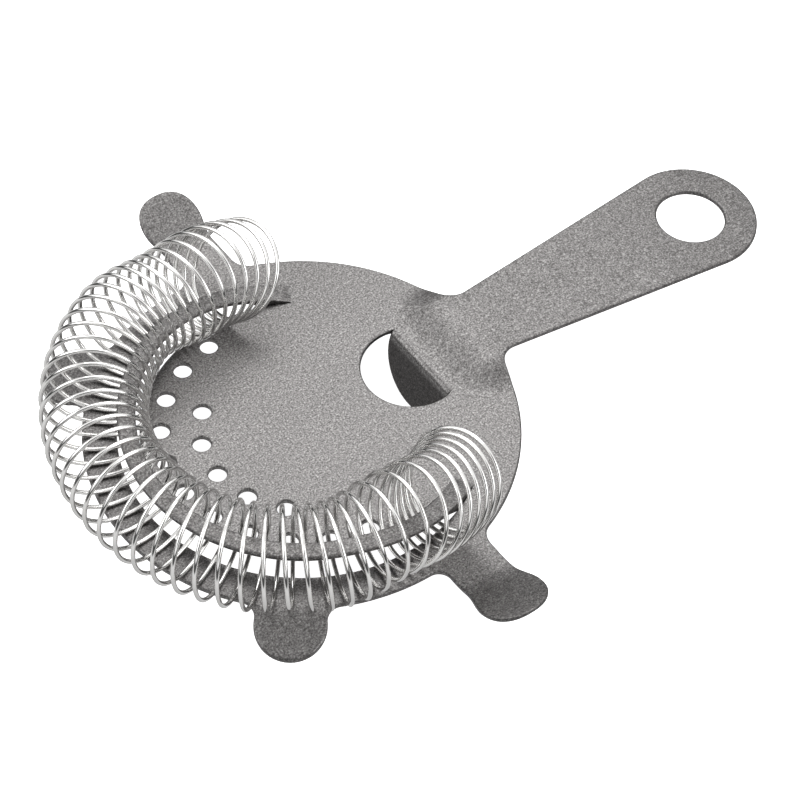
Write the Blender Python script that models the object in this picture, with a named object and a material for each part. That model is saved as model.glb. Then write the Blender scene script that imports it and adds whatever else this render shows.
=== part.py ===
"""Hawthorne strainer, coil side up.

A bar strainer made of two pieces: one stamped and bent stainless steel plate
(disc, handle, four ears, bent-down finger tab, perforations and one lanced
strip), and one coil of round wire threaded round that strip.

Frame: origin at the centre of the disc, on the face that carries the coil.
+X runs out along the handle, +Z is the side the coil stands on. Metres.
"""
import bpy
import bmesh
import numpy as np
from mathutils import Vector
from mathutils.geometry import delaunay_2d_cdt

for old in list(bpy.data.objects):
    bpy.data.objects.remove(old, do_unlink=True)

MM = 0.001

# ---------------------------------------------------------------- dimensions (mm)
T = 1.2                 # sheet thickness
DISC_R = 42.0           # disc

HOLE_D = 3.6            # perforations
ROW_IN_R = 19.5         # inner row: 5 holes
ROW_IN_N = 5
ROW_IN_STEP = 23.1      # degrees
ROW_OUT_R = 27.0        # outer row: 11 holes
ROW_OUT_N = 11
ROW_OUT_STEP = 16.6

SLOT_IN = 31.0          # slot the strip was lanced from
SLOT_OUT = 35.3
ROOT_DEG = 57.5         # strip roots, measured from the handle
CREST_DEG = 110.0       # strip is at full height beyond this
RAMP_POWER = 1.35       # the ramps climb fastest at the roots
STRIP_RISE = 4.6        # underside of the strip above the plate's top face
STRIP_NARROW = 0.4      # the stretched strip loses this at its inner edge
SHEAR = 0.15            # clearance of the shear cut on each side of the strip

HANG_X = 95.9           # hanging hole and handle end
HANG_R = 6.95
END_R = 13.5
TAPER = 0.105           # half width gained per mm of handle
NECK_FILLET = 4.0
NECK_Z = 1.95           # height of the crest across the neck
HANDLE_FALL = 0.069     # fall per mm of handle
CREST_X = 41.0
FOOT_X = 28.5           # where the crest starts to rise from the disc

FOLD_X = 27.8           # fold line of the finger tab
TAB_R = 9.8
TAB_CX = 25.8
TAB_FOLD = 78.0         # degrees down from flat
TAB_SLIM = 0.965        # the tab is a little slimmer than its window

SIDE_X = 7.6            # side ears
SIDE_NECK = 5.4
SIDE_A = 6.7
SIDE_TIP_Y = 61.9
SIDE_B = 6.2
SIDE_BEND_Y = 45.5
SIDE_SLOPE = 0.36

FRONT_DEG = 127.8       # front ears
FRONT_R = 45.2
FRONT_EAR_R = 6.85
FRONT_SLOPE = 0.28
FRONT_BEND_R = 41.0

WIRE_D = 0.85           # coil spring
WIRE_FOOT = 0.15        # the turns hang this far off the sheet, clear of it
TURNS = 49
COIL_R = 9.74           # to the wire's centre
COIL_FRONT = 39.7       # coil axis in front of the disc centre
COIL_SIDE = 35.9        # coil axis beside it
COIL_CX = -6.3
BOTTOM_R = 34.1         # the end turns pass under the middle of the strip at this radius
# the first figure of each pair is for the -Y end of the coil, the second for its +Y end
PITCH = (5.6, 5.4)      # degrees per turn
PITCH_PACKED = (2.8, 2.65)   # degrees per turn where the turns are packed under the strip
PACK_FROM = (16.2, 14.6)     # turns from the front where the packing sets in
PACK_OVER = (7.2, 3.0)       # and the turns on either side that it takes to do so
LEAN = (30.8, 43.0)     # the last turns lean over towards their end of the coil
LEAN_FROM = (14.3, 15.4)     # turns from the front where the lean starts
LEAN_OVER = (5.1, 9.6)       # and the turns it takes to grow
SPLAY = 14.0            # and splay outwards
END_SWELL = 0.28        # and are a little larger
EGG = 1.25              # the turn swells this much where it passes the strip's inner edge
SEG = 14                # facets per turn
SIDES = 6               # facets round the wire


def smooth(t):
    t = np.clip(t, 0.0, 1.0)
    return t * t * (3.0 - 2.0 * t)


# ---------------------------------------------------------------- sheet height
def sheet_z(x, y):
    """Height of the sheet's top face over the plan point x, y."""
    ay = abs(y)
    # crest across the neck, then the straight fall of the handle
    fall = NECK_Z - HANDLE_FALL * (x - 42.0)
    rise = float(smooth((x - FOOT_X) / (CREST_X - FOOT_X)))
    fade = 1.0 - float(smooth((ay - 8.0) / 8.0))
    past = float(smooth((x - 40.5) / 5.0))
    z = fall * rise * (fade + (1.0 - fade) * past)
    # side ears turn up toward the coil side
    if ay > SIDE_BEND_Y and abs(x - SIDE_X) < 12.0:
        t = ay - SIDE_BEND_Y
        z += SIDE_SLOPE * (t * t / 12.0 if t < 6.0 else t - 3.0)
    # front ears turn slightly down
    r = float(np.hypot(x, y))
    if x < -12.0 and r > FRONT_BEND_R:
        t = r - FRONT_BEND_R
        z -= FRONT_SLOPE * (t * t / 6.0 if t < 3.0 else t - 1.5)
    return z


# ---------------------------------------------------------------- outline
def arc(cx, cy, r, a0, a1, step):
    """Points on an arc from a0 to a1 (degrees), both ends included."""
    n = max(2, int(np.ceil(abs(a1 - a0) * np.pi / 180.0 * r / step)) + 1)
    a = np.radians(np.linspace(a0, a1, n))
    return [(cx + r * np.cos(k), cy + r * np.sin(k)) for k in a]


def seg(p, q, step):
    n = max(2, int(np.ceil(np.hypot(q[0] - p[0], q[1] - p[1]) / step)) + 1)
    return [(p[0] + (q[0] - p[0]) * k, p[1] + (q[1] - p[1]) * k) for k in np.linspace(0, 1, n)]


def half_outline():
    """Upper half of the plan, from the handle's end round to the front of the disc."""
    pts = []
    tilt = np.degrees(np.arctan(TAPER))
    a_t = 90.0 + tilt
    # handle end
    pts += arc(HANG_X, 0.0, END_R, 0.0, a_t, 2.2)
    tx = HANG_X + END_R * np.cos(np.radians(a_t))
    ty = END_R * np.sin(np.radians(a_t))
    # fillet between the handle's side and the disc
    rf = NECK_FILLET
    u = np.array([np.cos(np.radians(tilt)), np.sin(np.radians(tilt))])
    nrm = np.array([-u[1], u[0]])
    base = np.array([tx, ty]) + nrm * rf
    b = 2.0 * float(base @ u)
    c = float(base @ base) - (DISC_R + rf) ** 2
    k = (-b + np.sqrt(b * b - 4.0 * c)) / 2.0
    f = base + u * k
    touch = f - nrm * rf
    pts += seg((tx, ty), tuple(touch), 7.0)[1:]
    a_disc = np.degrees(np.arctan2(f[1], f[0]))
    pts += arc(f[0], f[1], rf, -90.0 + tilt, -180.0 + a_disc, 1.2)[1:]
    # disc to the side ear
    rf = 4.0
    x_r = SIDE_X + SIDE_NECK
    fy = np.sqrt((DISC_R + rf) ** 2 - (x_r + rf) ** 2)
    a1 = np.degrees(np.arctan2(fy, x_r + rf))
    pts += arc(0.0, 0.0, DISC_R, a_disc, a1, 2.8)[1:]
    pts += arc(x_r + rf, fy, rf, a1 - 180.0, -180.0, 1.5)[1:]
    # ear: straight neck, swelling into a squarish round end
    y_n = 49.5
    cy = SIDE_TIP_Y - SIDE_B
    pts += seg((x_r, fy), (x_r, y_n), 2.5)[1:]
    flare = [(SIDE_X + SIDE_NECK + (SIDE_A - SIDE_NECK) * float(smooth(t)), y_n + (cy - y_n) * t)
             for t in (0.34, 0.67)]
    pts += flare
    cap = []
    for a in np.radians(np.linspace(0.0, 180.0, 15)):
        ca, sa = np.cos(a), np.sin(a)
        cap.append((SIDE_X + SIDE_A * np.sign(ca) * abs(ca) ** 0.84, cy + SIDE_B * abs(sa) ** 0.84))
    pts += cap
    pts += [(2.0 * SIDE_X - q[0], q[1]) for q in reversed(flare)]
    rf = 2.6
    x_l = SIDE_X - SIDE_NECK
    fy = np.sqrt((DISC_R + rf) ** 2 - (x_l - rf) ** 2)
    a2 = np.degrees(np.arctan2(fy, x_l - rf))
    pts += seg((x_l, y_n), (x_l, fy), 2.5)
    pts += arc(x_l - rf, fy, rf, 0.0, a2 - 180.0, 1.3)[1:]
    # front ear: a round end let into the rim through small fillets
    rf = 3.0
    d1, d2 = DISC_R + rf, FRONT_EAR_R + rf
    off = np.degrees(np.arccos((d1 ** 2 + FRONT_R ** 2 - d2 ** 2) / (2.0 * d1 * FRONT_R)))
    ex, ey = FRONT_R * np.cos(np.radians(FRONT_DEG)), FRONT_R * np.sin(np.radians(FRONT_DEG))
    g1 = (d1 * np.cos(np.radians(FRONT_DEG - off)), d1 * np.sin(np.radians(FRONT_DEG - off)))
    g2 = (d1 * np.cos(np.radians(FRONT_DEG + off)), d1 * np.sin(np.radians(FRONT_DEG + off)))
    pts += arc(0.0, 0.0, DISC_R, a2, FRONT_DEG - off, 2.8)[1:]
    b1 = np.degrees(np.arctan2(ey - g1[1], ex - g1[0]))
    pts += arc(g1[0], g1[1], rf, FRONT_DEG - off - 180.0, b1 if b1 < 0 else b1 - 360.0, 1.2)[1:]
    e1 = np.degrees(np.arctan2(g1[1] - ey, g1[0] - ex))
    e2 = np.degrees(np.arctan2(g2[1] - ey, g2[0] - ex))
    if e2 < e1:
        e2 += 360.0
    pts += arc(ex, ey, FRONT_EAR_R, e1, e2, 1.8)[1:]
    b2 = np.degrees(np.arctan2(ey - g2[1], ex - g2[0]))
    end = FRONT_DEG + off - 180.0
    while b2 - end > 180.0:
        b2 -= 360.0
    while end - b2 > 180.0:
        b2 += 360.0
    pts += arc(g2[0], g2[1], rf, b2, end, 1.2)[1:]
    pts += arc(0.0, 0.0, DISC_R, FRONT_DEG + off, 180.0, 2.8)[1:]
    out = []
    for q in pts:
        if not out or np.hypot(q[0] - out[-1][0], q[1] - out[-1][1]) > 0.05:
            out.append((float(q[0]), float(q[1])))
    return out


half = half_outline()
outline = half + [(x, -y) for x, y in reversed(half[1:-1])]

# ---------------------------------------------------------------- openings in plan
loops = []


def circle(cx, cy, r, n, start=0.0):
    return [(cx + r * np.cos(start + 2.0 * np.pi * k / n), cy + r * np.sin(start + 2.0 * np.pi * k / n))
            for k in range(n)]


for k in range(ROW_IN_N):
    a = np.radians(180.0 + (k - (ROW_IN_N - 1) / 2.0) * ROW_IN_STEP)
    loops.append(circle(ROW_IN_R * np.cos(a), ROW_IN_R * np.sin(a), HOLE_D / 2.0, 14))
for k in range(ROW_OUT_N):
    a = np.radians(180.0 + (k - (ROW_OUT_N - 1) / 2.0) * ROW_OUT_STEP)
    loops.append(circle(ROW_OUT_R * np.cos(a), ROW_OUT_R * np.sin(a), HOLE_D / 2.0, 14))
loops.append(circle(HANG_X, 0.0, HANG_R, 28))

# window: the arc the tab was cut along, closed by the fold line
half_fold = float(np.sqrt(TAB_R ** 2 - (FOLD_X - TAB_CX) ** 2))
a_end = float(np.degrees(np.arctan2(half_fold, FOLD_X - TAB_CX)))
TAB_N = 18
tab_arc = [(TAB_CX + TAB_R * np.cos(np.radians(a)), TAB_R * np.sin(np.radians(a)))
           for a in np.linspace(a_end, 360.0 - a_end, TAB_N + 1)]
fold_pts = [(FOLD_X, half_fold * (1.0 - 2.0 * k / TAB_N)) for k in range(TAB_N + 1)]
loops.append(tab_arc + [fold_pts[k] for k in range(TAB_N - 1, 0, -1)])

# slot under the strip, root to root the long way round through the front
STRIP_N = 62
RAD_N = 2
psi = np.radians(np.linspace(ROOT_DEG, 360.0 - ROOT_DEG, STRIP_N + 1))
outer_edge = [(SLOT_OUT * np.cos(a), SLOT_OUT * np.sin(a)) for a in psi]
inner_edge = [(SLOT_IN * np.cos(a), SLOT_IN * np.sin(a)) for a in psi]
root_b = [((SLOT_OUT + (SLOT_IN - SLOT_OUT) * k / RAD_N) * np.cos(psi[-1]),
           (SLOT_OUT + (SLOT_IN - SLOT_OUT) * k / RAD_N) * np.sin(psi[-1])) for k in range(1, RAD_N)]
root_a = [((SLOT_IN + (SLOT_OUT - SLOT_IN) * k / RAD_N) * np.cos(psi[0]),
           (SLOT_IN + (SLOT_OUT - SLOT_IN) * k / RAD_N) * np.sin(psi[0])) for k in range(1, RAD_N)]
loops.append(outer_edge + root_b + list(reversed(inner_edge)) + root_a)


def inside(px, py, loop):
    q = np.asarray(loop)
    x0, y0 = q[:, 0], q[:, 1]
    x1, y1 = np.roll(x0, -1), np.roll(y0, -1)
    cross = (y0 > py) != (y1 > py)
    with np.errstate(divide="ignore", invalid="ignore"):
        xi = x0 + (py - y0) * (x1 - x0) / (y1 - y0)
    return bool(np.count_nonzero(cross & (px < xi)) % 2)


def solid_at(px, py):
    return inside(px, py, outline) and not any(inside(px, py, h) for h in loops)


# ---------------------------------------------------------------- triangulate the plan
coords, edges = [], []
for loop in [outline] + loops:
    n0 = len(coords)
    coords += [(float(x), float(y)) for x, y in loop]
    edges += [(n0 + k, n0 + (k + 1) % len(loop)) for k in range(len(loop))]
border = np.array(coords)


def fill(x0, x1, y0, y1, step, keep_off):
    """Interior points on a staggered grid, kept clear of every edge."""
    row = 0
    y = y0
    while y <= y1:
        x = x0 + (0.5 * step if row % 2 else 0.0)
        while x <= x1:
            if solid_at(x, y) and np.min(np.hypot(border[:, 0] - x, border[:, 1] - y)) > keep_off:
                coords.append((x, y))
            x += step
        y += step * 0.866
        row += 1


fill(-42.0, 28.0, -42.0, 42.0, 6.0, 1.8)         # flat disc
fill(29.0, 48.0, -18.0, 18.0, 3.0, 1.4)          # crest across the neck
for s in (-1.0, 1.0):
    fill(-0.5, 15.5, *sorted((s * 45.0, s * 61.0)), 3.0, 1.3)
    fill(-34.0, -22.0, *sorted((s * 30.0, s * 43.0)), 3.2, 1.4)

verts2, edges2, faces2, *_ = delaunay_2d_cdt([Vector(c) for c in coords], edges, [], 0, 1e-6)
tris = []
for f in faces2:
    cx = sum(verts2[i].x for i in f) / 3.0
    cy = sum(verts2[i].y for i in f) / 3.0
    if solid_at(cx, cy):
        tris.append(tuple(f))

# ---------------------------------------------------------------- plate mesh
bm = bmesh.new()
MITRE = T * np.tan(np.radians(TAB_FOLD) / 2.0)


def on_fold(x, y):
    return abs(x - FOLD_X) < 1e-4 and abs(y) < half_fold + 1e-4


def on_root(x, y):
    r, a = np.hypot(x, y), abs(np.degrees(np.arctan2(y, x)))
    return abs(a - ROOT_DEG) < 1e-3 and SLOT_IN - 1e-3 < r < SLOT_OUT + 1e-3


top_v, bot_v = {}, {}
for i in sorted({i for t in tris for i in t}):
    x, y = verts2[i].x, verts2[i].y
    z = sheet_z(x, y)
    top_v[i] = bm.verts.new((x, y, z))
    bot_v[i] = bm.verts.new((x + (MITRE if on_fold(x, y) else 0.0), y, z - T))
count = {}
for a, b, c in tris:
    bm.faces.new((top_v[a], top_v[b], top_v[c]))
    bm.faces.new((bot_v[c], bot_v[b], bot_v[a]))
    for e in ((a, b), (b, c), (c, a)):
        count[e] = count.get(e, 0) + 1
for (a, b) in list(count):
    if (b, a) in count:
        continue
    pa, pb = verts2[a], verts2[b]
    if on_fold(pa.x, pa.y) and on_fold(pb.x, pb.y):
        continue
    if on_root(pa.x, pa.y) and on_root(pb.x, pb.y):
        continue
    bm.faces.new((top_v[b], top_v[a], bot_v[a], bot_v[b]))


def sheet_strip(top, bottom, close_ends):
    """Close a grid of top and bottom points (rows along the length) into a skin
    that is open at the ends of its first axis when close_ends is False."""
    n, m = len(top), len(top[0])
    tv = [[bm.verts.new(p) for p in row] for row in top]
    bv = [[bm.verts.new(p) for p in row] for row in bottom]
    for i in range(n - 1):
        for j in range(m - 1):
            bm.faces.new((tv[i][j], tv[i + 1][j], tv[i + 1][j + 1], tv[i][j + 1]))
            bm.faces.new((bv[i][j], bv[i][j + 1], bv[i + 1][j + 1], bv[i + 1][j]))
    for i in range(n - 1):
        bm.faces.new((tv[i][0], bv[i][0], bv[i + 1][0], tv[i + 1][0]))
        bm.faces.new((tv[i][m - 1], tv[i + 1][m - 1], bv[i + 1][m - 1], bv[i][m - 1]))
    if close_ends:
        for j in range(m - 1):
            bm.faces.new((tv[0][j], tv[0][j + 1], bv[0][j + 1], bv[0][j]))
            bm.faces.new((tv[n - 1][j], bv[n - 1][j], bv[n - 1][j + 1], tv[n - 1][j + 1]))
    return tv, bv


def strip_top(deg_from_handle):
    """Height of the strip's top face: nothing at the roots, full beyond the crest."""
    t = min(1.0, max(0.0, (deg_from_handle - ROOT_DEG) / (CREST_DEG - ROOT_DEG)))
    return (STRIP_RISE + T) * (1.0 - (1.0 - t) ** RAMP_POWER)


# raised strip
top, bottom = [], []
for a in psi:
    d = abs((np.degrees(a) + 180.0) % 360.0 - 180.0)
    zt = strip_top(d)
    r_in = SLOT_IN + STRIP_NARROW * (min(1.0, zt / 2.5) if zt > 0.0 else 0.0)
    r_in += SHEAR * min(1.0, zt / 0.4)
    r_out = SLOT_OUT - SHEAR * min(1.0, zt / 0.4)
    row_t, row_b = [], []
    for k in range(RAD_N + 1):
        r = r_out + (r_in - r_out) * k / RAD_N
        row_t.append((r * np.cos(a), r * np.sin(a), zt))
        row_b.append((r * np.cos(a), r * np.sin(a), zt - T))
    top.append(row_t)
    bottom.append(row_b)
sheet_strip(top, bottom, False)

# finger tab, folded down along the fold line
fold = np.radians(TAB_FOLD)
dvec = np.array([-np.cos(fold), 0.0, -np.sin(fold)])
nvec = np.array([-np.sin(fold), 0.0, np.cos(fold)])
TAB_ROWS = 4
top, bottom = [], []
for k in range(TAB_N + 1):
    fx, fy = fold_pts[k]
    ax, ay = tab_arc[k]
    ay *= 1.0 if k in (0, TAB_N) else TAB_SLIM
    row_t, row_b = [], []
    for j in range(TAB_ROWS + 1):
        s = j / TAB_ROWS
        depth = (FOLD_X - ax) * s
        y = fy + (ay - fy) * s
        base = np.array([FOLD_X, y, 0.0]) + dvec * depth
        at_fold = j == 0 or k in (0, TAB_N)
        low = np.array([FOLD_X + MITRE, y, -T]) if at_fold else base - nvec * T
        row_t.append(tuple(base))
        row_b.append(tuple(low))
    top.append(row_t)
    bottom.append(row_b)
n, m = len(top), len(top[0])
tv = [[bm.verts.new(p) for p in row] for row in top]
bv = [[bm.verts.new(p) for p in row] for row in bottom]
for i in range(n - 1):
    for j in range(m - 1):
        bm.faces.new((tv[i][j], tv[i][j + 1], tv[i + 1][j + 1], tv[i + 1][j]))
        bm.faces.new((bv[i][j], bv[i + 1][j], bv[i + 1][j + 1], bv[i][j + 1]))
    bm.faces.new((tv[i][m - 1], bv[i][m - 1], bv[i + 1][m - 1], tv[i + 1][m - 1]))

bmesh.ops.remove_doubles(bm, verts=bm.verts, dist=0.004)
bmesh.ops.dissolve_degenerate(bm, dist=0.001, edges=bm.edges)
bmesh.ops.triangulate(bm, faces=bm.faces)
bmesh.ops.scale(bm, vec=(MM, MM, MM), verts=bm.verts)
bmesh.ops.recalc_face_normals(bm, faces=bm.faces)
mesh = bpy.data.meshes.new("strainer_plate")
bm.to_mesh(mesh)
bm.free()
plate = bpy.data.objects.new("strainer_plate", mesh)
bpy.context.scene.collection.objects.link(plate)


# ---------------------------------------------------------------- coil spring
def angle_bottom(i):
    """Degrees from the front at which turn i passes under the strip: even steps, then packed."""
    a = np.abs(i)
    pitch = np.where(i > 0, PITCH[0], PITCH[1])
    w = np.where(i > 0, PACK_OVER[0], PACK_OVER[1])
    over = a - np.where(i > 0, PACK_FROM[0], PACK_FROM[1])
    soft = np.where(over < -w, 0.0, np.where(over > w, over, (over + w) ** 2 / (4.0 * w)))
    packed = np.where(i > 0, PITCH_PACKED[0], PITCH_PACKED[1])
    return np.sign(i) * (pitch * a - (pitch - packed) * soft)


def lean(i):
    """How far turn i leans over towards its end of the coil."""
    a = np.abs(i)
    right = LEAN[0] * smooth((a - LEAN_FROM[0]) / LEAN_OVER[0])
    left = LEAN[1] * smooth((a - LEAN_FROM[1]) / LEAN_OVER[1])
    return np.radians(np.where(i > 0, right, left))


def coil_frame(i):
    """Where turn coordinate i passes under the strip, the way its plane faces, and its radius."""
    ph = -2.0 * np.pi * i + np.pi / 2.0
    th = np.radians(180.0 + angle_bottom(i))
    rx = COIL_FRONT + COIL_CX
    cx, cy = COIL_CX + rx * np.cos(th), COIL_SIDE * np.sin(th)
    dx, dy = -rx * np.sin(th), COIL_SIDE * np.cos(th)
    ln = np.hypot(dx, dy)
    tx, ty = dx / ln, dy / ln
    out = smooth((np.abs(i) - 15.0) / 6.0)
    s = -np.sign(i) * np.radians(SPLAY) * out
    tx, ty = tx * np.cos(s) - ty * np.sin(s), tx * np.sin(s) + ty * np.cos(s)
    pull = smooth((np.abs(i) - 13.0) / 6.0) * (1.0 - BOTTOM_R / np.hypot(cx, cy))
    cx, cy = cx * (1.0 - pull), cy * (1.0 - pull)
    front = smooth((-np.cos(th) - 0.1) / 0.7)
    off = (ph - np.radians(216.0) + np.pi) % (2.0 * np.pi) - np.pi
    r = COIL_R + END_SWELL * out + EGG * front * np.exp(-(off / np.radians(32.0)) ** 2)
    return ph, cx, cy, tx, ty, r


def coil_point(i):
    ph, cx, cy, tx, ty, r = coil_frame(i)
    al, sg = lean(i), np.sign(i)
    h = COIL_R + END_SWELL * smooth((np.abs(i) - 15.0) / 6.0) + r * np.sin(ph)
    fwd = h * np.sin(al) * sg
    return np.stack([cx + ty * r * np.cos(ph) + tx * fwd, cy - tx * r * np.cos(ph) + ty * fwd,
                     WIRE_FOOT + WIRE_D / 2.0 + h * np.cos(al)], -1)


steps = TURNS * SEG
u = np.linspace(-TURNS / 2.0, TURNS / 2.0, steps + 1)
centre = coil_point(u)
h = 1e-3
tangent = coil_point(u + h) - coil_point(u - h)
tangent /= np.linalg.norm(tangent, axis=1)[:, None]
ph, cx, cy, tx, ty, r = coil_frame(u)
fwd = np.sin(ph) * np.sin(lean(u)) * np.sign(u)
radial = np.stack([ty * np.cos(ph) + tx * fwd, -tx * np.cos(ph) + ty * fwd, np.sin(ph) * np.cos(lean(u))], -1)
radial -= tangent * np.sum(radial * tangent, axis=1)[:, None]
radial /= np.linalg.norm(radial, axis=1)[:, None]
side = np.cross(tangent, radial)
bm = bmesh.new()
rings = []
for k in range(steps + 1):
    ring = []
    for s in range(SIDES):
        a = 2.0 * np.pi * s / SIDES
        ring.append(bm.verts.new(tuple((centre[k] + WIRE_D / 2.0 * (np.cos(a) * radial[k] + np.sin(a) * side[k])) * MM)))
    rings.append(ring)
for k in range(steps):
    for s in range(SIDES):
        t = (s + 1) % SIDES
        bm.faces.new((rings[k][s], rings[k][t], rings[k + 1][t], rings[k + 1][s]))
bm.faces.new(list(reversed(rings[0])))
bm.faces.new(rings[-1])
bmesh.ops.triangulate(bm, faces=bm.faces)
bmesh.ops.recalc_face_normals(bm, faces=bm.faces)
mesh = bpy.data.meshes.new("coil_spring")
bm.to_mesh(mesh)
bm.free()
coil = bpy.data.objects.new("coil_spring", mesh)
bpy.context.scene.collection.objects.link(coil)


# ---------------------------------------------------------------- materials
def material(name, colour, metallic, rough):
    mat = bpy.data.materials.new(name)
    mat.use_nodes = True
    b = mat.node_tree.nodes["Principled BSDF"]
    b.inputs["Base Color"].default_value = (*colour, 1.0)
    b.inputs["Metallic"].default_value = metallic
    b.inputs["Roughness"].default_value = rough
    return mat


plate.data.materials.append(material("tumbled_stainless_steel", (0.27, 0.26, 0.25), 0.85, 0.55))
coil.data.materials.append(material("polished_stainless_wire", (0.80, 0.79, 0.77), 1.0, 0.18))
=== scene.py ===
import math

import bmesh
import bpy
import numpy as np
from mathutils import Matrix, Vector
from mathutils.geometry import delaunay_2d_cdt


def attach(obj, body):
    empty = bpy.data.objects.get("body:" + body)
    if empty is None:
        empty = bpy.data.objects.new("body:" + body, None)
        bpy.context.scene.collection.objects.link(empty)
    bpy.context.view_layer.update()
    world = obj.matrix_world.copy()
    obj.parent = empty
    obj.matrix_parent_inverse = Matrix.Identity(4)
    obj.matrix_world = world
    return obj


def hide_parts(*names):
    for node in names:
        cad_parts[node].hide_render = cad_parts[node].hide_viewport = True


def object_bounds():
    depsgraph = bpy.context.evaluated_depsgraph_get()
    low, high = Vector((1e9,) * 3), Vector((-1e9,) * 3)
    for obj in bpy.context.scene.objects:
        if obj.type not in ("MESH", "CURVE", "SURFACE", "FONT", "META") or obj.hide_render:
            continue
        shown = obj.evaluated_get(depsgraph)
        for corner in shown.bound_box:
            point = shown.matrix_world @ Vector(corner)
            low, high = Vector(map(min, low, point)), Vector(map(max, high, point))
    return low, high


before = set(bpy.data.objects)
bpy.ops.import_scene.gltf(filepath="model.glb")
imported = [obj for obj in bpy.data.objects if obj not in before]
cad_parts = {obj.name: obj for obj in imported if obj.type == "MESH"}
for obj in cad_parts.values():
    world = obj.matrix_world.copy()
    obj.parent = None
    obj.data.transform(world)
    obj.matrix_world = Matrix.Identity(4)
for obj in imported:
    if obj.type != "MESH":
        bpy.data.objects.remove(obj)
cad_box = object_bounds()

# All plan sizes are in millimetres, in the row frame: the origin is the centre of the
# perforated disc on the face that carries the coil, +X runs along the handle.
MM = 0.001
T = 1.2
DISC_R = 42.0
HOLE_R = 1.8
ROWS = ((19.5, 5, 23.1), (27.0, 11, 16.6))
SLOT_IN, SLOT_OUT = 31.0, 35.3
ROOT_DEG, CREST_DEG, RAMP_POWER = 57.5, 110.0, 1.35
STRIP_RISE = 4.6
STRIP_NARROW = 0.4
SHEAR = 0.15
HANG_X, HANG_R, END_R = 95.9, 6.95, 13.5
TAPER, NECK_FILLET, NECK_Z, HANDLE_FALL = 0.105, 4.0, 1.95, 0.069
CREST_X, FOOT_X = 41.0, 29.0
FOLD_X, TAB_R, TAB_CX, TAB_FOLD, TAB_SLIM = 27.8, 9.8, 25.8, 78.0, 0.965
SIDE_X, SIDE_NECK, SIDE_A, SIDE_TIP_Y, SIDE_B = 7.6, 5.4, 6.7, 61.9, 6.2
SIDE_BEND_Y, SIDE_SLOPE = 45.5, 0.36
FRONT_DEG, FRONT_R, FRONT_EAR_R, FRONT_SLOPE, FRONT_BEND_R = 127.8, 45.2, 6.85, 0.28, 41.0
EDGE_R = 0.36           # the tumbled edge
BEND_R = 1.4            # outside of the tab's bend
BEND = math.radians(TAB_FOLD)
SETBACK = BEND_R * math.tan(BEND / 2.0)
FOLD_V = FOLD_X + SETBACK

WIRE_D, WIRE_FOOT, TURNS, COIL_R = 0.85, 0.15, 49, 9.74
COIL_FRONT, COIL_SIDE, COIL_CX, BOTTOM_R = 39.7, 35.9, -6.3, 34.1
PITCH, PITCH_PACKED, PACK_FROM, PACK_OVER = (5.6, 5.4), (2.8, 2.65), (16.2, 14.6), (7.2, 3.0)
LEAN, LEAN_FROM, LEAN_OVER = (30.8, 43.0), (14.3, 15.4), (5.1, 9.6)
SPLAY, END_SWELL, EGG = 14.0, 0.28, 1.25


def smooth(t):
    t = np.clip(t, 0.0, 1.0)
    return t * t * (3.0 - 2.0 * t)


# ---------------------------------------------------------------- plan
def sheet_z(x, y):
    ay = np.abs(y)
    fall = NECK_Z - HANDLE_FALL * (x - 42.0)
    rise = smooth((x - FOOT_X) / (CREST_X - FOOT_X))
    fade = 1.0 - smooth((ay - 8.0) / 8.0)
    past = smooth((x - 40.5) / 5.0)
    z = fall * rise * (fade + (1.0 - fade) * past)
    t = np.maximum(ay - SIDE_BEND_Y, 0.0) * (np.abs(x - SIDE_X) < 12.0)
    z = z + SIDE_SLOPE * np.where(t < 6.0, t * t / 12.0, t - 3.0)
    t = np.maximum(np.hypot(x, y) - FRONT_BEND_R, 0.0) * (x < -12.0)
    return z - FRONT_SLOPE * np.where(t < 3.0, t * t / 6.0, t - 1.5)


def arc(cx, cy, r, a0, a1, step):
    n = max(2, int(np.ceil(abs(a1 - a0) * np.pi / 180.0 * r / step)) + 1)
    a = np.radians(np.linspace(a0, a1, n))
    return [(cx + r * np.cos(k), cy + r * np.sin(k)) for k in a]


def seg(p, q, step):
    n = max(2, int(np.ceil(np.hypot(q[0] - p[0], q[1] - p[1]) / step)) + 1)
    return [(p[0] + (q[0] - p[0]) * k, p[1] + (q[1] - p[1]) * k) for k in np.linspace(0, 1, n)]


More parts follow.
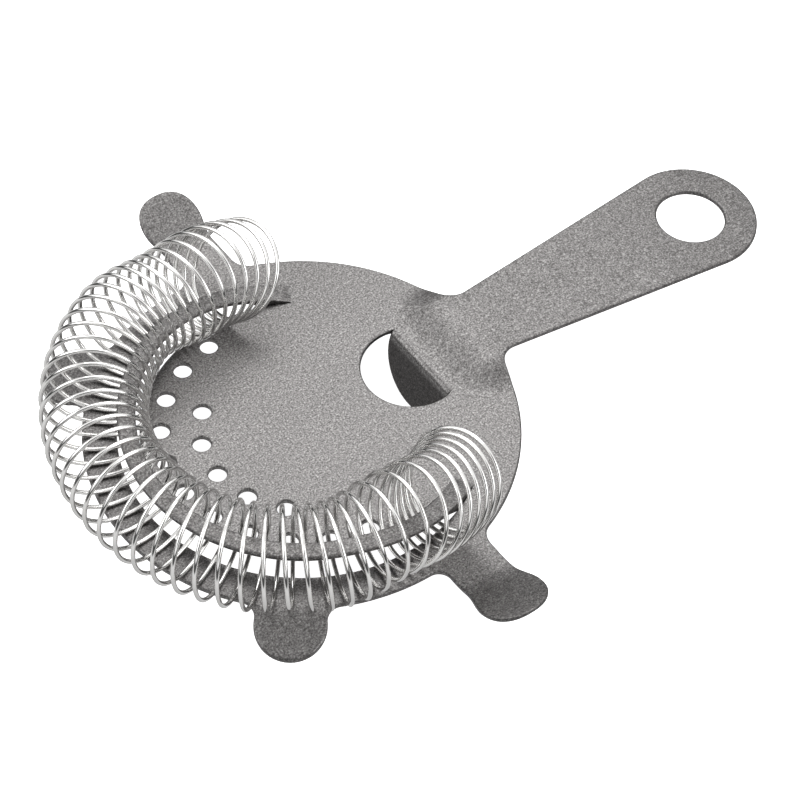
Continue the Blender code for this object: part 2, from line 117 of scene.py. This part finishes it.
def half_outline():
    pts = []
    tilt = np.degrees(np.arctan(TAPER))
    a_t = 90.0 + tilt
    pts += arc(HANG_X, 0.0, END_R, 0.0, a_t, 0.7)
    tx = HANG_X + END_R * np.cos(np.radians(a_t))
    ty = END_R * np.sin(np.radians(a_t))
    rf = NECK_FILLET
    u = np.array([np.cos(np.radians(tilt)), np.sin(np.radians(tilt))])
    nrm = np.array([-u[1], u[0]])
    base = np.array([tx, ty]) + nrm * rf
    b = 2.0 * float(base @ u)
    c = float(base @ base) - (DISC_R + rf) ** 2
    k = (-b + np.sqrt(b * b - 4.0 * c)) / 2.0
    f = base + u * k
    touch = f - nrm * rf
    pts += seg((tx, ty), tuple(touch), 1.6)[1:]
    a_disc = np.degrees(np.arctan2(f[1], f[0]))
    pts += arc(f[0], f[1], rf, -90.0 + tilt, -180.0 + a_disc, 0.5)[1:]
    rf = 4.0
    x_r = SIDE_X + SIDE_NECK
    fy = np.sqrt((DISC_R + rf) ** 2 - (x_r + rf) ** 2)
    a1 = np.degrees(np.arctan2(fy, x_r + rf))
    pts += arc(0.0, 0.0, DISC_R, a_disc, a1, 1.0)[1:]
    pts += arc(x_r + rf, fy, rf, a1 - 180.0, -180.0, 0.5)[1:]
    y_n = 49.5
    cy = SIDE_TIP_Y - SIDE_B
    pts += seg((x_r, fy), (x_r, y_n), 0.8)[1:]
    flare = [(SIDE_X + SIDE_NECK + (SIDE_A - SIDE_NECK) * float(smooth(t)), y_n + (cy - y_n) * t)
             for t in np.linspace(0.0, 1.0, 9)[1:-1]]
    pts += flare
    cap = []
    for a in np.radians(np.linspace(0.0, 180.0, 47)):
        ca, sa = np.cos(a), np.sin(a)
        cap.append((SIDE_X + SIDE_A * np.sign(ca) * abs(ca) ** 0.84, cy + SIDE_B * abs(sa) ** 0.84))
    pts += cap
    pts += [(2.0 * SIDE_X - q[0], q[1]) for q in reversed(flare)]
    rf = 2.6
    x_l = SIDE_X - SIDE_NECK
    fy = np.sqrt((DISC_R + rf) ** 2 - (x_l - rf) ** 2)
    a2 = np.degrees(np.arctan2(fy, x_l - rf))
    pts += seg((x_l, y_n), (x_l, fy), 0.8)
    pts += arc(x_l - rf, fy, rf, 0.0, a2 - 180.0, 0.4)[1:]
    rf = 3.0
    d1, d2 = DISC_R + rf, FRONT_EAR_R + rf
    off = np.degrees(np.arccos((d1 ** 2 + FRONT_R ** 2 - d2 ** 2) / (2.0 * d1 * FRONT_R)))
    ex, ey = FRONT_R * np.cos(np.radians(FRONT_DEG)), FRONT_R * np.sin(np.radians(FRONT_DEG))
    g1 = (d1 * np.cos(np.radians(FRONT_DEG - off)), d1 * np.sin(np.radians(FRONT_DEG - off)))
    g2 = (d1 * np.cos(np.radians(FRONT_DEG + off)), d1 * np.sin(np.radians(FRONT_DEG + off)))
    pts += arc(0.0, 0.0, DISC_R, a2, FRONT_DEG - off, 1.0)[1:]
    b1 = np.degrees(np.arctan2(ey - g1[1], ex - g1[0]))
    pts += arc(g1[0], g1[1], rf, FRONT_DEG - off - 180.0, b1 if b1 < 0 else b1 - 360.0, 0.4)[1:]
    e1 = np.degrees(np.arctan2(g1[1] - ey, g1[0] - ex))
    e2 = np.degrees(np.arctan2(g2[1] - ey, g2[0] - ex))
    if e2 < e1:
        e2 += 360.0
    pts += arc(ex, ey, FRONT_EAR_R, e1, e2, 0.6)[1:]
    b2 = np.degrees(np.arctan2(ey - g2[1], ex - g2[0]))
    end = FRONT_DEG + off - 180.0
    while b2 - end > 180.0:
        b2 -= 360.0
    while end - b2 > 180.0:
        b2 += 360.0
    pts += arc(g2[0], g2[1], rf, b2, end, 0.4)[1:]
    pts += arc(0.0, 0.0, DISC_R, FRONT_DEG + off, 180.0, 1.0)[1:]
    out = []
    for q in pts:
        if not out or np.hypot(q[0] - out[-1][0], q[1] - out[-1][1]) > 0.05:
            out.append((float(q[0]), float(q[1])))
    return out


half = half_outline()
outline = np.array(half + [(x, -y) for x, y in reversed(half[1:-1])])
# the ear on the +Y side is trimmed a little narrower than its opposite
ear = smooth((outline[:, 1] - 46.0) / 6.0)
outline[:, 0] -= (outline[:, 0] - SIDE_X) * 0.07 * ear


def left_of(loop, closed=True):
    """Unit normals to the left of the way the points run."""
    p = np.asarray(loop, float)
    if closed:
        a, b = p - np.roll(p, 1, 0), np.roll(p, -1, 0) - p
    else:
        d = np.diff(p, axis=0)
        a, b = np.vstack([d[:1], d]), np.vstack([d, d[-1:]])
    a /= np.linalg.norm(a, axis=1)[:, None]
    b /= np.linalg.norm(b, axis=1)[:, None]
    t = a + b
    t /= np.linalg.norm(t, axis=1)[:, None]
    return np.stack([-t[:, 1], t[:, 0]], 1)


def fade_ends(pts, reach):
    """0 at both ends of an open run of points, 1 further in than reach."""
    s = np.concatenate([[0.0], np.cumsum(np.linalg.norm(np.diff(pts, axis=0), axis=1))])
    return smooth(np.minimum(s, s[-1] - s) / reach)


# ---------------------------------------------------------------- sheet builder
bm = bmesh.new()
PHI = np.radians(np.linspace(0.0, 90.0, 6))


def skirt(pts, into, er, place, closed=True):
    """The rounded edge of the sheet along pts: from the top face, over the edge,
    down the wall and back onto the bottom face. into points into the metal."""
    er = np.broadcast_to(er, (len(pts),))[:, None]
    rings = []
    for f in PHI:
        q = pts + into * er * (1.0 - np.sin(f))
        rings.append((q, er[:, 0] * (1.0 - np.cos(f))))
    for f in PHI[::-1]:
        q = pts + into * er * (1.0 - np.sin(f))
        rings.append((q, T - er[:, 0] * (1.0 - np.cos(f))))
    rows = [[bm.verts.new(tuple(place(x, y, d))) for (x, y), d in zip(q, dd)] for q, dd in rings]
    n = len(pts)
    for a, b in zip(rows[:-1], rows[1:]):
        for k in range(n if closed else n - 1):
            m = (k + 1) % n
            bm.faces.new((a[k], a[m], b[m], b[k]))
    return rings[0][0]


def flat(x, y, d):
    return (x, y, float(sheet_z(x, y)) - d)


rims = []          # inner borders of the flat part of the top face, in plan
outer_rim = skirt(outline, left_of(outline), EDGE_R, flat)


def add_hole(cx, cy, r, n, er):
    a = np.linspace(0.0, 2.0 * np.pi, n, endpoint=False)
    p = np.stack([cx + r * np.cos(a), cy + r * np.sin(a)], 1)
    rims.append(skirt(p, -left_of(p), er, flat))


for r, n, step in ROWS:
    for k in range(n):
        a = math.radians(180.0 + (k - (n - 1) / 2.0) * step)
        add_hole(r * math.cos(a), r * math.sin(a), HOLE_R, 40, 0.30)
add_hole(HANG_X, 0.0, HANG_R, 84, 0.42)

# window and the tab folded down out of it
half_v = math.sqrt(TAB_R ** 2 - (FOLD_V - TAB_CX) ** 2)
a_end = math.degrees(math.atan2(half_v, FOLD_V - TAB_CX))
TAB_N = 54
ang = np.radians(np.linspace(a_end, 360.0 - a_end, TAB_N + 1))
tab_arc = np.stack([TAB_CX + TAB_R * np.cos(ang), TAB_R * np.sin(ang)], 1)
fold_y = half_v * (1.0 - 2.0 * np.arange(TAB_N + 1) / TAB_N)
w = fade_ends(tab_arc, 2.0)
arc_rim = skirt(tab_arc, -left_of(tab_arc, False), EDGE_R * w, flat, closed=False)
rims.append(np.vstack([arc_rim, [(FOLD_V, fold_y[k]) for k in range(TAB_N - 1, 0, -1)]]))


def bent(x, y, d):
    """Plan point of the flat tab, carried round the bend; d is the depth under its top face."""
    q = FOLD_X - x
    f = BEND * min(1.0, max(0.0, (q + SETBACK) / (2.0 * SETBACK)))
    r = BEND_R - d
    px = FOLD_X + SETBACK - r * math.sin(f)
    pz = -BEND_R + r * math.cos(f)
    if q > SETBACK:
        px -= (q - SETBACK) * math.cos(BEND)
        pz -= (q - SETBACK) * math.sin(BEND)
    return (px, y, pz)


slim = tab_arc.copy()
slim[:, 1] *= 1.0 - (1.0 - TAB_SLIM) * np.minimum(1.0, np.minimum(np.arange(TAB_N + 1), TAB_N - np.arange(TAB_N + 1)) / 3.0)
tab_rim = skirt(slim, left_of(slim, False), EDGE_R * w, bent, closed=False)
TAB_ROWS = 30
grid = {}
for k in range(TAB_N + 1):
    for j in range(TAB_ROWS + 1):
        s = j / TAB_ROWS
        x = FOLD_V + (tab_rim[k, 0] - FOLD_V) * s
        y = fold_y[k] + (tab_rim[k, 1] - fold_y[k]) * s
        grid[k, j, 0] = bm.verts.new(bent(x, y, 0.0))
        grid[k, j, 1] = bm.verts.new(bent(x, y, T))
for k in range(TAB_N):
    for j in range(TAB_ROWS):
        for side in (0, 1):
            bm.faces.new([grid[q + (side,)] for q in ((k, j), (k + 1, j), (k + 1, j + 1), (k, j + 1))])

# slot and the strip that bridges it
STRIP_N, STRIP_COLS = 260, 5
psi = np.radians(np.linspace(ROOT_DEG, 360.0 - ROOT_DEG, STRIP_N + 1))
ring = np.stack([np.cos(psi), np.sin(psi)], 1)
out_edge, in_edge = SLOT_OUT * ring, SLOT_IN * ring
wr = fade_ends(out_edge, 2.0)


def strip_top(deg):
    t = min(1.0, max(0.0, (deg - ROOT_DEG) / (CREST_DEG - ROOT_DEG)))
    z = (STRIP_RISE + T) * (1.0 - (1.0 - t) ** RAMP_POWER)
    return z * float(smooth((deg - ROOT_DEG) / 3.2) ** 0.5) if deg < ROOT_DEG + 3.2 else z


tops = np.array([strip_top(abs((math.degrees(a) + 180.0) % 360.0 - 180.0)) for a in psi])
wr = wr * (0.35 + 0.65 * smooth((tops - 0.5) / 3.0))
out_rim = skirt(out_edge, ring, EDGE_R * wr, flat, closed=False)
in_rim = skirt(in_edge, -ring, EDGE_R * wr, flat, closed=False)
cols = np.linspace(SLOT_OUT, SLOT_IN, STRIP_COLS + 1)[1:-1]
rims.append(np.vstack([out_rim, [tuple(r * ring[-1]) for r in cols], in_rim[::-1],
                       [tuple(r * ring[0]) for r in cols[::-1]]]))


apart = smooth((tops - 1.2) / 3.2)
cut = 0.05 * np.minimum(1.0, tops / 0.4)
r_in = SLOT_IN + cut + (STRIP_NARROW + SHEAR - 0.05) * apart
r_out = SLOT_OUT - cut - (SHEAR - 0.05) * apart


def lifted(x, y, d):
    """Point of the strip, d under its top face; over the first degrees of the ramps the
    drawn-out sides still reach down into the slot."""
    a = abs(math.degrees(math.atan2(y, x)))
    z = strip_top(a)
    drawn = z * (1.0 - float(smooth((a - 66.5) / 8.0)))
    return (x, y, z - d * (1.0 + drawn / T))


so = skirt(r_out[:, None] * ring, -ring, 0.42 * wr, lifted, closed=False)
si = skirt(r_in[:, None] * ring, ring, 0.42 * wr, lifted, closed=False)
strip = {}
for i in range(STRIP_N + 1):
    for j in range(STRIP_COLS + 1):
        x, y = so[i] + (si[i] - so[i]) * j / STRIP_COLS
        strip[i, j, 0] = bm.verts.new(lifted(x, y, 0.0))
        strip[i, j, 1] = bm.verts.new(lifted(x, y, T))
for i in range(STRIP_N):
    for j in range(STRIP_COLS):
        for side in (0, 1):
            bm.faces.new([strip[q + (side,)] for q in ((i, j), (i + 1, j), (i + 1, j + 1), (i, j + 1))])


# flat top and bottom faces
def inside(px, py, loop):
    q = np.asarray(loop)
    x0, y0 = q[:, 0][None], q[:, 1][None]
    x1, y1 = np.roll(q[:, 0], -1)[None], np.roll(q[:, 1], -1)[None]
    px, py = np.asarray(px)[:, None], np.asarray(py)[:, None]
    cross = (y0 > py) != (y1 > py)
    with np.errstate(divide="ignore", invalid="ignore"):
        xi = x0 + (py - y0) * (x1 - x0) / (y1 - y0)
    return np.count_nonzero(cross & (px < xi), axis=1) % 2 == 1


def metal(px, py):
    ok = inside(px, py, outer_rim)
    for h in rims:
        ok &= ~inside(px, py, h)
    return ok


coords, edges = [], []
for loop in [outer_rim] + rims:
    n0 = len(coords)
    coords += [(float(x), float(y)) for x, y in loop]
    edges += [(n0 + k, n0 + (k + 1) % len(loop)) for k in range(len(loop))]
border = np.array(coords)
extra = []
for x0, x1, y0, y1, step in ((-42, 28, -42, 42, 2.4), (28.3, 49, -21, 21, 1.1), (49.5, 110, -14, 14, 2.4),
                             (-2, 17, 43, 62, 1.2), (-2, 17, -62, -43, 1.2),
                             (-35.5, -20, 28.5, 44, 1.2), (-35.5, -20, -44, -28.5, 1.2)):
    for row, y in enumerate(np.arange(y0, y1, step * 0.866)):
        extra += [(x, y) for x in np.arange(x0 + (step / 2.0 if row % 2 else 0.0), x1, step)]
extra = np.array(extra)
extra = extra[metal(extra[:, 0], extra[:, 1])]
kept = []
for q in extra:
    if np.min(np.hypot(border[:, 0] - q[0], border[:, 1] - q[1])) > 0.55:
        kept.append((float(q[0]), float(q[1])))
verts2, _, faces2, *_ = delaunay_2d_cdt([Vector(c) for c in coords + kept], edges, [], 0, 1e-6)
v2 = np.array([tuple(v) for v in verts2])
tri = np.array([tuple(f) for f in faces2 if len(f) == 3])
mid = v2[tri].mean(1)
tri = tri[metal(mid[:, 0], mid[:, 1])]
used = sorted(set(tri.ravel().tolist()))
tv = {i: bm.verts.new(flat(v2[i, 0], v2[i, 1], 0.0)) for i in used}
bv = {i: bm.verts.new(flat(v2[i, 0], v2[i, 1], T)) for i in used}
for a, b, c in tri.tolist():
    bm.faces.new((tv[a], tv[b], tv[c]))
    bm.faces.new((bv[c], bv[b], bv[a]))

bmesh.ops.remove_doubles(bm, verts=bm.verts, dist=0.003)
bmesh.ops.dissolve_degenerate(bm, dist=0.0005, edges=bm.edges)
bmesh.ops.recalc_face_normals(bm, faces=bm.faces)
open_edges = sum(1 for e in bm.edges if len(e.link_faces) != 2)
print("plate skin:", len(bm.faces), "faces,", open_edges, "open edges")
bmesh.ops.scale(bm, vec=(MM,) * 3, verts=bm.verts)
for f in bm.faces:
    f.smooth = True
mesh = bpy.data.meshes.new("plate_skin")
bm.to_mesh(mesh)
bm.free()
plate = bpy.data.objects.new("plate_skin", mesh)
bpy.context.scene.collection.objects.link(plate)
wn = plate.modifiers.new("normals", "WEIGHTED_NORMAL")
wn.weight = 90
wn.keep_sharp = False


# ---------------------------------------------------------------- coil
def angle_bottom(i):
    """Degrees from the front at which turn i passes under the strip: even steps, then packed."""
    a = np.abs(i)
    pitch = np.where(i > 0, PITCH[0], PITCH[1])
    w = np.where(i > 0, PACK_OVER[0], PACK_OVER[1])
    over = a - np.where(i > 0, PACK_FROM[0], PACK_FROM[1])
    soft = np.where(over < -w, 0.0, np.where(over > w, over, (over + w) ** 2 / (4.0 * w)))
    packed = np.where(i > 0, PITCH_PACKED[0], PITCH_PACKED[1])
    return np.sign(i) * (pitch * a - (pitch - packed) * soft)


def lean(i):
    """How far turn i leans over towards its end of the coil."""
    a = np.abs(i)
    right = LEAN[0] * smooth((a - LEAN_FROM[0]) / LEAN_OVER[0])
    left = LEAN[1] * smooth((a - LEAN_FROM[1]) / LEAN_OVER[1])
    return np.radians(np.where(i > 0, right, left))


def coil_frame(i):
    ph = -2.0 * np.pi * i + np.pi / 2.0
    th = np.radians(180.0 + angle_bottom(i))
    rx = COIL_FRONT + COIL_CX
    cx, cy = COIL_CX + rx * np.cos(th), COIL_SIDE * np.sin(th)
    dx, dy = -rx * np.sin(th), COIL_SIDE * np.cos(th)
    ln = np.hypot(dx, dy)
    tx, ty = dx / ln, dy / ln
    out = smooth((np.abs(i) - 15.0) / 6.0)
    s = -np.sign(i) * np.radians(SPLAY) * out
    tx, ty = tx * np.cos(s) - ty * np.sin(s), tx * np.sin(s) + ty * np.cos(s)
    pull = smooth((np.abs(i) - 13.0) / 6.0) * (1.0 - BOTTOM_R / np.hypot(cx, cy))
    cx, cy = cx * (1.0 - pull), cy * (1.0 - pull)
    front = smooth((-np.cos(th) - 0.1) / 0.7)
    off = (ph - np.radians(216.0) + np.pi) % (2.0 * np.pi) - np.pi
    r = COIL_R + END_SWELL * out + EGG * front * np.exp(-(off / np.radians(32.0)) ** 2)
    return ph, cx, cy, tx, ty, r


def coil_point(i):
    ph, cx, cy, tx, ty, r = coil_frame(i)
    al, sg = lean(i), np.sign(i)
    h = COIL_R + END_SWELL * smooth((np.abs(i) - 15.0) / 6.0) + r * np.sin(ph)
    fwd = h * np.sin(al) * sg
    return np.stack([cx + ty * r * np.cos(ph) + tx * fwd, cy - tx * r * np.cos(ph) + ty * fwd,
                     WIRE_FOOT + WIRE_D / 2.0 + h * np.cos(al)], -1)


SEG, SIDES = 56, 12
u = np.linspace(-TURNS / 2.0, TURNS / 2.0, TURNS * SEG + 1)
centre = coil_point(u)
tangent = coil_point(u + 1e-3) - coil_point(u - 1e-3)
tangent /= np.linalg.norm(tangent, axis=1)[:, None]
ph, _, _, tx, ty, _ = coil_frame(u)
al = lean(u)
fwd = np.sin(ph) * np.sin(al) * np.sign(u)
radial = np.stack([ty * np.cos(ph) + tx * fwd, -tx * np.cos(ph) + ty * fwd, np.sin(ph) * np.cos(al)], -1)
radial -= tangent * np.sum(radial * tangent, axis=1)[:, None]
radial /= np.linalg.norm(radial, axis=1)[:, None]
side = np.cross(tangent, radial)
a = 2.0 * np.pi * np.arange(SIDES) / SIDES
turn_round = np.cos(a)[None, :, None] * radial[:, None] + np.sin(a)[None, :, None] * side[:, None]
R = WIRE_D / 2.0 + 0.025
rings = [centre[0] - tangent[0] * R * 0.30 + turn_round[0] * R * 0.70]
rings += [centre[k] + turn_round[k] * R for k in range(len(u))]
rings += [centre[-1] + tangent[-1] * R * 0.30 + turn_round[-1] * R * 0.70]
co = np.concatenate(rings + [[centre[0] - tangent[0] * R * 0.36], [centre[-1] + tangent[-1] * R * 0.36]])
n = len(rings)
faces = []
for k in range(n - 1):
    for s in range(SIDES):
        t = (s + 1) % SIDES
        faces.append((k * SIDES + s, k * SIDES + t, (k + 1) * SIDES + t, (k + 1) * SIDES + s))
for s in range(SIDES):
    t = (s + 1) % SIDES
    faces.append((n * SIDES, t, s))
    faces.append((n * SIDES + 1, (n - 1) * SIDES + s, (n - 1) * SIDES + t))
mesh = bpy.data.meshes.new("coil_wire")
mesh.from_pydata((co * MM).tolist(), [], faces)
bmc = bmesh.new()
bmc.from_mesh(mesh)
bmesh.ops.recalc_face_normals(bmc, faces=bmc.faces)
for f in bmc.faces:
    f.smooth = True
bmc.to_mesh(mesh)
bmc.free()
coil = bpy.data.objects.new("coil_wire", mesh)
bpy.context.scene.collection.objects.link(coil)

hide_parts("strainer_plate")
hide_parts("coil_spring")
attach(plate, "plate")
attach(coil, "coil")


# ---------------------------------------------------------------- materials
def new_material(name):
    m = bpy.data.materials.new(name)
    m.use_nodes = True
    nt = m.node_tree
    bsdf = nt.nodes["Principled BSDF"]
    return m, nt, bsdf


def noise(nt, vec, scale, detail, rough=0.5, distortion=0.0):
    n = nt.nodes.new("ShaderNodeTexNoise")
    n.inputs["Scale"].default_value = scale
    n.inputs["Detail"].default_value = detail
    n.inputs["Roughness"].default_value = rough
    n.inputs["Distortion"].default_value = distortion
    nt.links.new(vec, n.inputs["Vector"])
    return n.outputs["Fac"]


def ramp(nt, fac, stops):
    r = nt.nodes.new("ShaderNodeValToRGB")
    while len(r.color_ramp.elements) < len(stops):
        r.color_ramp.elements.new(0.5)
    for e, (p, c) in zip(r.color_ramp.elements, stops):
        e.position = p
        e.color = (*c, 1.0) if hasattr(c, "__len__") else (c, c, c, 1.0)
    nt.links.new(fac, r.inputs["Fac"])
    return r.outputs["Color"]


def mixc(nt, fac, a, b, blend="MIX"):
    m = nt.nodes.new("ShaderNodeMix")
    m.data_type = "RGBA"
    m.blend_type = blend
    if hasattr(fac, "is_output"):
        nt.links.new(fac, m.inputs[0])
    else:
        m.inputs[0].default_value = fac
    for s, v in ((m.inputs[6], a), (m.inputs[7], b)):
        if hasattr(v, "is_output"):
            nt.links.new(v, s)
        else:
            s.default_value = (*v, 1.0)
    return m.outputs[2]


def coords_of(nt):
    return nt.nodes.new("ShaderNodeTexCoord").outputs["Object"]


# tumbled stainless sheet: a fine pitted grain of about half a millimetre with
# broad, faint clouds from the tumbling
mat, nt, bsdf = new_material("tumbled_steel")
vec = coords_of(nt)
grain = noise(nt, vec, 3000.0, 3.0, 0.6)
coarse = noise(nt, vec, 1250.0, 2.0, 0.5)
cloud = noise(nt, vec, 55.0, 3.0, 0.55)
col = ramp(nt, grain, ((0.34, (0.092, 0.088, 0.086)), (0.46, (0.158, 0.152, 0.150)), (0.55, (0.210, 0.204, 0.201)), (0.68, (0.345, 0.338, 0.332))))
col = mixc(nt, 0.6, col, ramp(nt, coarse, ((0.34, 0.72), (0.66, 1.22))), "MULTIPLY")
col = mixc(nt, 0.5, col, ramp(nt, cloud, ((0.3, 0.90), (0.7, 1.06))), "MULTIPLY")
# painted shade: the base colour is darkened from near the disc's rim outwards, towards the far end of the
# handle, on the -Y ear and in a band on the +Y side; painted light: the tip of the +Y ear is lightened a little
sep = nt.nodes.new("ShaderNodeSeparateXYZ")
nt.links.new(vec, sep.inputs[0])
reach = nt.nodes.new("ShaderNodeVectorMath")
reach.operation = "LENGTH"
nt.links.new(vec, reach.inputs[0])
for value, lo, hi, stops in (
        (reach.outputs["Value"], 0.038, 0.050, ((0.0, 1.0), (1.0, 0.94))),
        (sep.outputs["X"], 0.080, 0.108, ((0.0, 1.0), (1.0, 0.84))),
        (sep.outputs["Y"], -0.060, 0.060, ((0.02, 0.78), (0.17, 1.0), (0.60, 1.0), (0.80, 0.88), (0.88, 1.04)))):
    shade = nt.nodes.new("ShaderNodeMapRange")
    shade.inputs["From Min"].default_value = lo
    shade.inputs["From Max"].default_value = hi
    nt.links.new(value, shade.inputs["Value"])
    col = mixc(nt, 1.0, col, ramp(nt, shade.outputs["Result"], stops), "MULTIPLY")
# painted shadow: the tab under the fold, which sits in the plate's shade, has its base colour cut to about a
# third
tab_shadow_mask = None
for axis, lo, hi in (("X", 0.018, 0.020), ("X", 0.030, 0.029), ("Z", -0.0010, -0.0022)):
    part = nt.nodes.new("ShaderNodeMapRange")
    part.inputs["From Min"].default_value = lo
    part.inputs["From Max"].default_value = hi
    nt.links.new(sep.outputs[axis], part.inputs["Value"])
    if tab_shadow_mask is None:
        tab_shadow_mask = part.outputs["Result"]
    else:
        both = nt.nodes.new("ShaderNodeMath")
        both.operation = "MULTIPLY"
        nt.links.new(tab_shadow_mask, both.inputs[0])
        nt.links.new(part.outputs["Result"], both.inputs[1])
        tab_shadow_mask = both.outputs[0]
col = mixc(nt, tab_shadow_mask, col, mixc(nt, 1.0, col, (0.34, 0.33, 0.33), "MULTIPLY"))
nt.links.new(col, bsdf.inputs["Base Color"])
bsdf.inputs["Metallic"].default_value = 1.0
nt.links.new(ramp(nt, grain, ((0.3, 0.46), (0.7, 0.34))), bsdf.inputs["Roughness"])
bump = nt.nodes.new("ShaderNodeBump")
bump.inputs["Strength"].default_value = 0.35
bump.inputs["Distance"].default_value = 0.00006
nt.links.new(grain, bump.inputs["Height"])
nt.links.new(bump.outputs["Normal"], bsdf.inputs["Normal"])
plate.data.materials.append(mat)

# bright drawn wire: nearly mirror
mat, nt, bsdf = new_material("bright_wire")
vec = coords_of(nt)
fine = noise(nt, vec, 1400.0, 2.0, 0.5)
broad = noise(nt, vec, 160.0, 2.0, 0.5)
col = ramp(nt, broad, ((0.3, (0.845, 0.835, 0.82)), (0.7, (0.89, 0.885, 0.875))))
nt.links.new(col, bsdf.inputs["Base Color"])
bsdf.inputs["Metallic"].default_value = 1.0
nt.links.new(ramp(nt, fine, ((0.3, 0.06), (0.7, 0.10))), bsdf.inputs["Roughness"])
coil.data.materials.append(mat)

# ---------------------------------------------------------------- studio
floor_z = cad_box[0].z
mesh = bpy.data.meshes.new("studio_floor")
s = 6.0
mesh.from_pydata([(-s, -s, floor_z), (s, -s, floor_z), (s, s, floor_z), (-s, s, floor_z)], [], [(0, 1, 2, 3)])
floor = bpy.data.objects.new("studio_floor", mesh)
bpy.context.scene.collection.objects.link(floor)
mat, nt, bsdf = new_material("pale_floor")
bsdf.inputs["Base Color"].default_value = (0.9, 0.9, 0.9, 1.0)
bsdf.inputs["Roughness"].default_value = 1.0
bsdf.inputs["Specular IOR Level"].default_value = 0.0
bsdf.inputs["Emission Color"].default_value = (1.0, 1.0, 1.0, 1.0)
bsdf.inputs["Emission Strength"].default_value = 0.93
floor.data.materials.append(mat)
floor.visible_glossy = False
floor.visible_diffuse = False

world = bpy.data.worlds.new("studio")
bpy.context.scene.world = world
world.use_nodes = True
nt = world.node_tree
bg = nt.nodes["Background"]
geo = nt.nodes.new("ShaderNodeTexCoord")
sep = nt.nodes.new("ShaderNodeSeparateXYZ")
nt.links.new(geo.outputs["Generated"], sep.inputs[0])
up = nt.nodes.new("ShaderNodeMapRange")
up.inputs["From Min"].default_value = -1.0
up.inputs["From Max"].default_value = 1.0
nt.links.new(sep.outputs["Z"], up.inputs["Value"])
sky = ramp(nt, up.outputs["Result"], ((0.0, 0.50), (0.30, 0.74), (0.40, 0.74), (0.455, 0.08), (0.60, 0.08), (0.66, 0.90), (0.80, 1.02)))
# the dark of the room behind the photographer, as a soft patch
side_on = nt.nodes.new("ShaderNodeVectorMath")
side_on.operation = "DOT_PRODUCT"
nt.links.new(geo.outputs["Generated"], side_on.inputs[0])
side_on.inputs[1].default_value = (-0.380, -0.494, 0.782)
patch = ramp(nt, side_on.outputs["Value"], ((0.91, 1.0), (0.965, 0.03)))
nt.links.new(mixc(nt, 1.0, sky, patch, "MULTIPLY"), bg.inputs["Color"])
bg.inputs["Strength"].default_value = 1.0


def softbox(name, az, el, dist, size, glow, at=(0.02, 0.0, 0.0), tall=None):
    """An area light at azimuth az (from +X towards +Y) and elevation el, aimed at the
    object; glow is the brightness of its face."""
    d = bpy.data.lights.new(name, "AREA")
    d.shape = "RECTANGLE"
    d.size = size
    d.size_y = tall or size
    d.energy = glow * math.pi * size * (tall or size)
    o = bpy.data.objects.new(name, d)
    bpy.context.scene.collection.objects.link(o)
    a, e = math.radians(az), math.radians(el)
    direction = Vector((math.cos(a) * math.cos(e), math.sin(a) * math.cos(e), math.sin(e)))
    o.location = Vector(at) + direction * dist
    o.rotation_mode = "QUATERNION"
    o.rotation_quaternion = direction.to_track_quat("Z", "Y")
    return o


softbox("back_key", 52.0, 54.0, 0.75, 0.50, 1.9)
softbox("left_fill", 150.0, 40.0, 0.8, 0.5, 1.8)
softbox("right_fill", -60.0, 35.0, 0.8, 0.5, 1.8)

# ---------------------------------------------------------------- camera
AZ, EL, ROLL = -37.572, 51.459, 1.828
DIST, FOCAL_PX = 668.625, 3500.0
ORIGIN_PX = (302.02, 426.68)
a, e, r = (math.radians(v) for v in (AZ, EL, ROLL))
back = Vector((math.sin(a) * math.cos(e), -math.cos(a) * math.cos(e), math.sin(e)))
right = Vector((math.cos(a), math.sin(a), 0.0))
up_v = back.cross(right)
right2 = right * math.cos(r) + up_v * math.sin(r)
up2 = up_v * math.cos(r) - right * math.sin(r)
ox = (ORIGIN_PX[0] - 400.0) / FOCAL_PX * DIST
oy = -(ORIGIN_PX[1] - 400.0) / FOCAL_PX * DIST
place = (-(right2 * ox + up2 * oy) + back * DIST) * MM
cam_data = bpy.data.cameras.new("camera")
cam_data.sensor_width = 36.0
cam_data.lens = 36.0 * FOCAL_PX / 800.0
cam_data.clip_start, cam_data.clip_end = 0.01, 20.0
cam = bpy.data.objects.new("camera", cam_data)
bpy.context.scene.collection.objects.link(cam)
cam.matrix_world = Matrix(((right2.x, up2.x, back.x, place.x), (right2.y, up2.y, back.y, place.y),
                           (right2.z, up2.z, back.z, place.z), (0.0, 0.0, 0.0, 1.0)))
bpy.context.scene.camera = cam
bpy.context.scene.view_settings.view_transform = "Standard"
bpy.context.scene.view_settings.look = "None"
